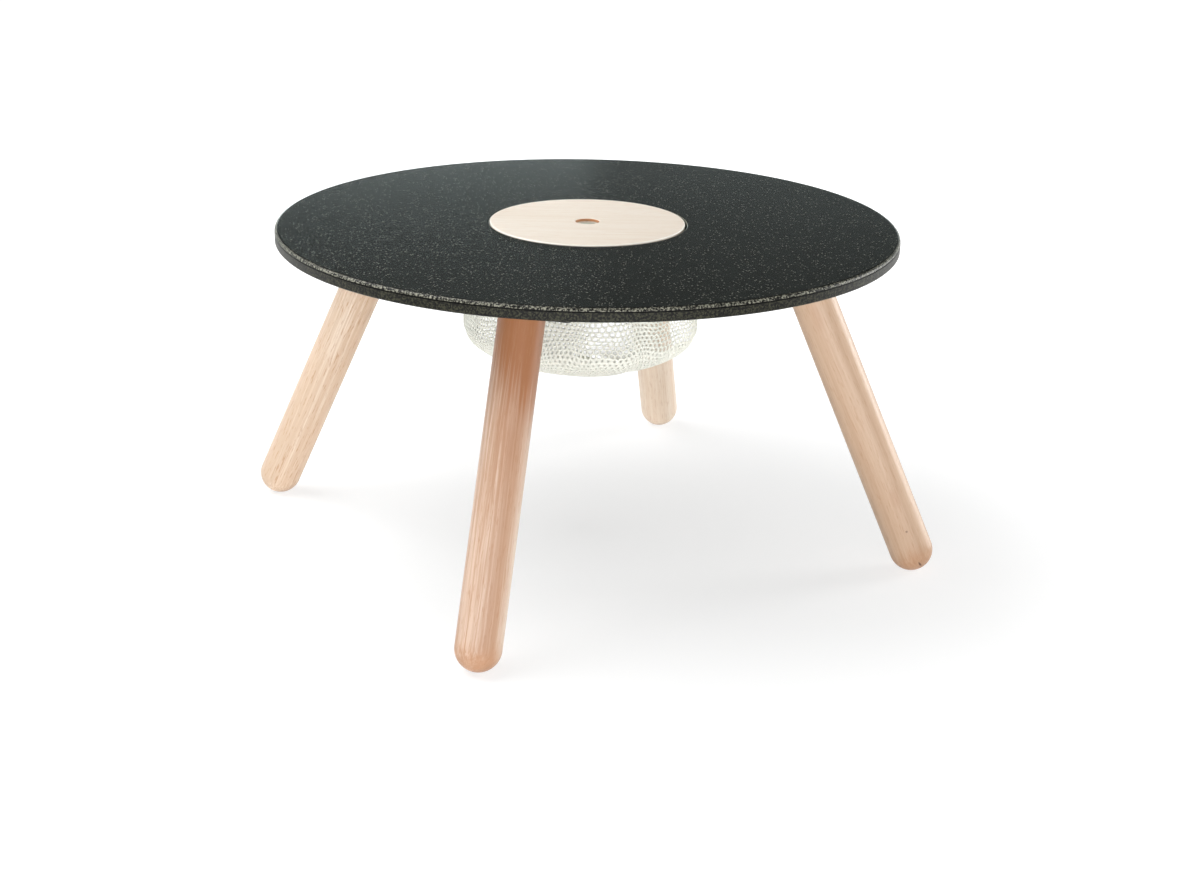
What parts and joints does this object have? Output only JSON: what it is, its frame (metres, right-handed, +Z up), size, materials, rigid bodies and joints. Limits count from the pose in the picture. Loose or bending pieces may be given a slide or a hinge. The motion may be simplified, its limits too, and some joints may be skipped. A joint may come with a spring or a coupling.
{
  "type": "round table",
  "caption": "Low round table with a thin dark speckled top on splayed dowel legs, a lift-off lid in the middle and a net bag for toys below it.",
  "frame": {"origin": "on the floor, under the middle of the table", "axes": "+Z up, +X to the right, -Y to the front; the legs stand on the diagonals between the axes"},
  "size_m": [0.73, 0.73, 0.3912],
  "materials": {
    "speckled_board": "matte speckled composite",
    "lid_wood": "satin clear lacquer",
    "leg_wood": "satin clear lacquer",
    "cotton_net": "soft open knit",
    "zinc_steel": "zinc plated"
  },
  "bodies": {
    "table": {"tabletop": "speckled_board", "net_bag": "cotton_net", "bag_hoop": "leg_wood", "leg_front_right": "leg_wood", "leg_block_front_right": "leg_wood", "leg_back_right": "leg_wood", "leg_block_back_right": "leg_wood", "leg_back_left": "leg_wood", "leg_block_back_left": "leg_wood", "leg_front_left": "leg_wood", "leg_block_front_left": "leg_wood", "hoop_screw_1": "zinc_steel", "hoop_screw_2": "zinc_steel", "hoop_screw_3": "zinc_steel", "hoop_screw_4": "zinc_steel", "hoop_screw_5": "zinc_steel", "hoop_screw_6": "zinc_steel", "hoop_screw_7": "zinc_steel", "hoop_screw_8": "zinc_steel", "block_insert_front_right": "zinc_steel", "hanger_bolt_front_right": "zinc_steel", "block_screw_front_right_1": "zinc_steel", "block_screw_front_right_2": "zinc_steel", "block_screw_front_right_3": "zinc_steel", "block_screw_front_right_4": "zinc_steel", "block_insert_back_right": "zinc_steel", "hanger_bolt_back_right": "zinc_steel", "block_screw_back_right_1": "zinc_steel", "block_screw_back_right_2": "zinc_steel", "block_screw_back_right_3": "zinc_steel", "block_screw_back_right_4": "zinc_steel", "block_insert_back_left": "zinc_steel", "hanger_bolt_back_left": "zinc_steel", "block_screw_back_left_1": "zinc_steel", "block_screw_back_left_2": "zinc_steel", "block_screw_back_left_3": "zinc_steel", "block_screw_back_left_4": "zinc_steel", "block_insert_front_left": "zinc_steel", "hanger_bolt_front_left": "zinc_steel", "block_screw_front_left_1": "zinc_steel", "block_screw_front_left_2": "zinc_steel", "block_screw_front_left_3": "zinc_steel", "block_screw_front_left_4": "zinc_steel"},
    "lid": {"lid": "lid_wood"}
  },
  "joints": [
    {"name": "lid_lift", "type": "slide", "parent": "table", "child": "lid", "axis": [0, 0, 1], "range_m": [0, 0.15]}
  ]
}
